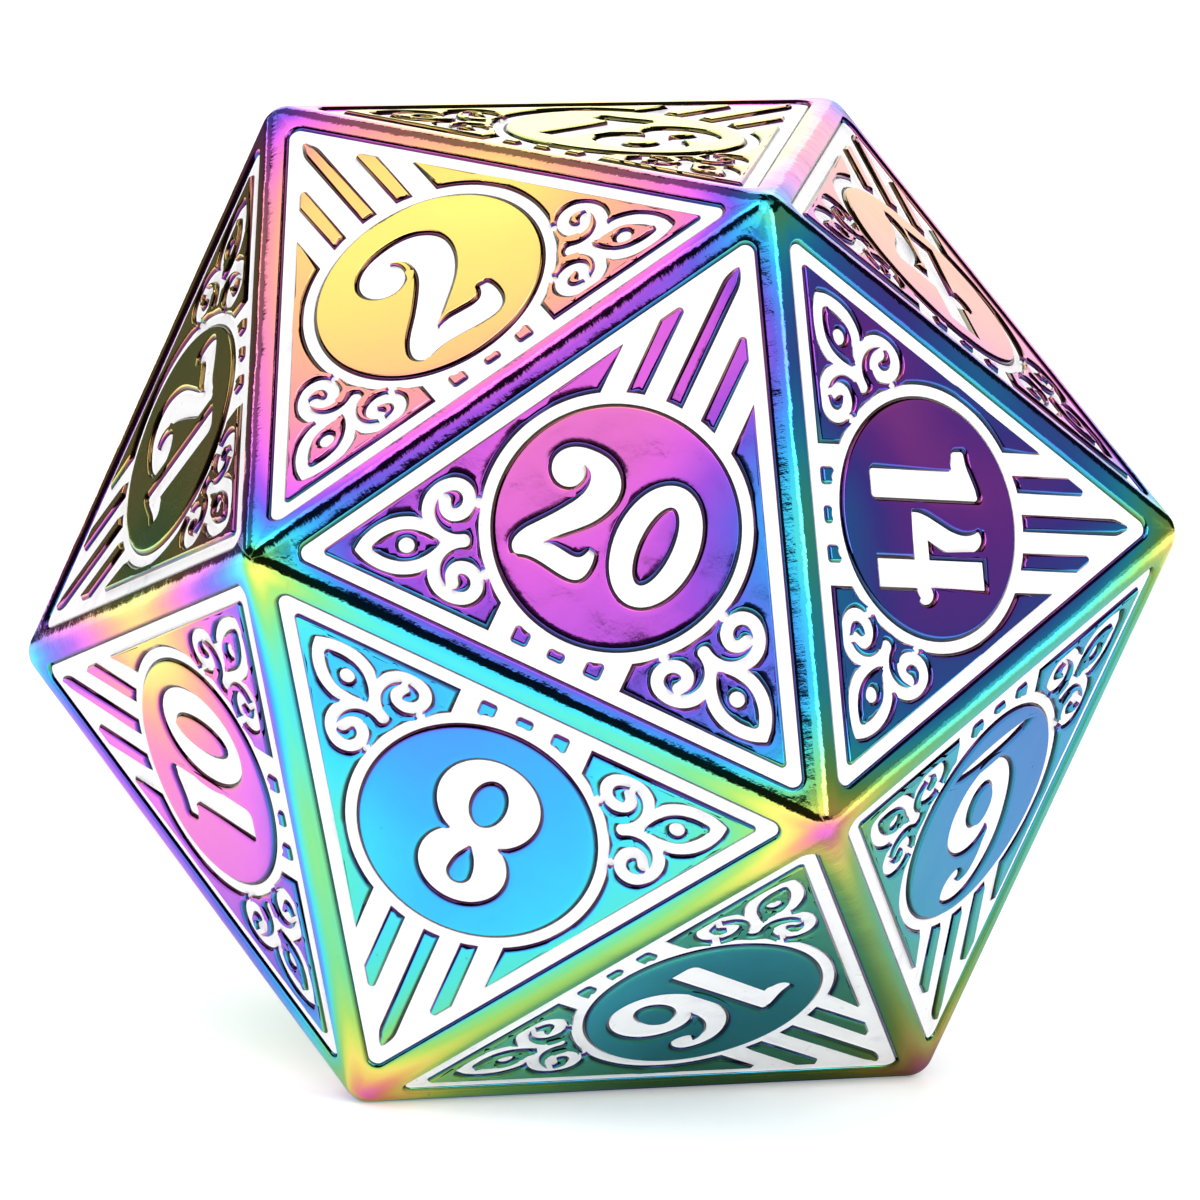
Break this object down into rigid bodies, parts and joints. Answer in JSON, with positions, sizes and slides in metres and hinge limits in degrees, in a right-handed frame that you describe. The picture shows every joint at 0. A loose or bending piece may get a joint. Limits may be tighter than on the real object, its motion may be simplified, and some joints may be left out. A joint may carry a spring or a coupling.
{
  "type": "polyhedral die",
  "caption": "Twenty-sided cast-metal die with rounded ridges and white enamel numerals and ornament inlaid in every face.",
  "frame": {"origin": "centre of the die, which is the middle of its box and equally far from all twenty faces", "axes": "+Z is the outward normal of the 18, which lies on top when the die rests on the 3; +X runs over the corner where the 4, 6 and 14 meet"},
  "size_m": [0.0244, 0.0214, 0.02],
  "materials": {
    "plated_metal": "die-cast zinc alloy with an iridescent oil-slick plating, polished",
    "white_enamel": "white soft enamel, glossy"
  },
  "bodies": {
    "root": {"die_body": "plated_metal", "face_01_trim_enamel": "white_enamel", "face_01_numeral_enamel": "white_enamel", "face_02_trim_enamel": "white_enamel", "face_02_numeral_enamel": "white_enamel", "face_03_trim_enamel": "white_enamel", "face_03_numeral_enamel": "white_enamel", "face_04_trim_enamel": "white_enamel", "face_04_numeral_enamel": "white_enamel", "face_05_trim_enamel": "white_enamel", "face_05_numeral_enamel": "white_enamel", "face_06_trim_enamel": "white_enamel", "face_06_numeral_enamel": "white_enamel", "face_07_trim_enamel": "white_enamel", "face_07_numeral_enamel": "white_enamel", "face_08_trim_enamel": "white_enamel", "face_08_numeral_enamel": "white_enamel", "face_09_trim_enamel": "white_enamel", "face_09_numeral_enamel": "white_enamel", "face_10_trim_enamel": "white_enamel", "face_10_numeral_enamel": "white_enamel", "face_11_trim_enamel": "white_enamel", "face_11_numeral_enamel": "white_enamel", "face_12_trim_enamel": "white_enamel", "face_12_numeral_enamel": "white_enamel", "face_13_trim_enamel": "white_enamel", "face_13_numeral_enamel": "white_enamel", "face_14_trim_enamel": "white_enamel", "face_14_numeral_enamel": "white_enamel", "face_15_trim_enamel": "white_enamel", "face_15_numeral_enamel": "white_enamel", "face_16_trim_enamel": "white_enamel", "face_16_numeral_enamel": "white_enamel", "face_17_trim_enamel": "white_enamel", "face_17_numeral_enamel": "white_enamel", "face_18_trim_enamel": "white_enamel", "face_18_numeral_enamel": "white_enamel", "face_19_trim_enamel": "white_enamel", "face_19_numeral_enamel": "white_enamel", "face_20_trim_enamel": "white_enamel", "face_20_numeral_enamel": "white_enamel"}
  },
  "joints": []
}
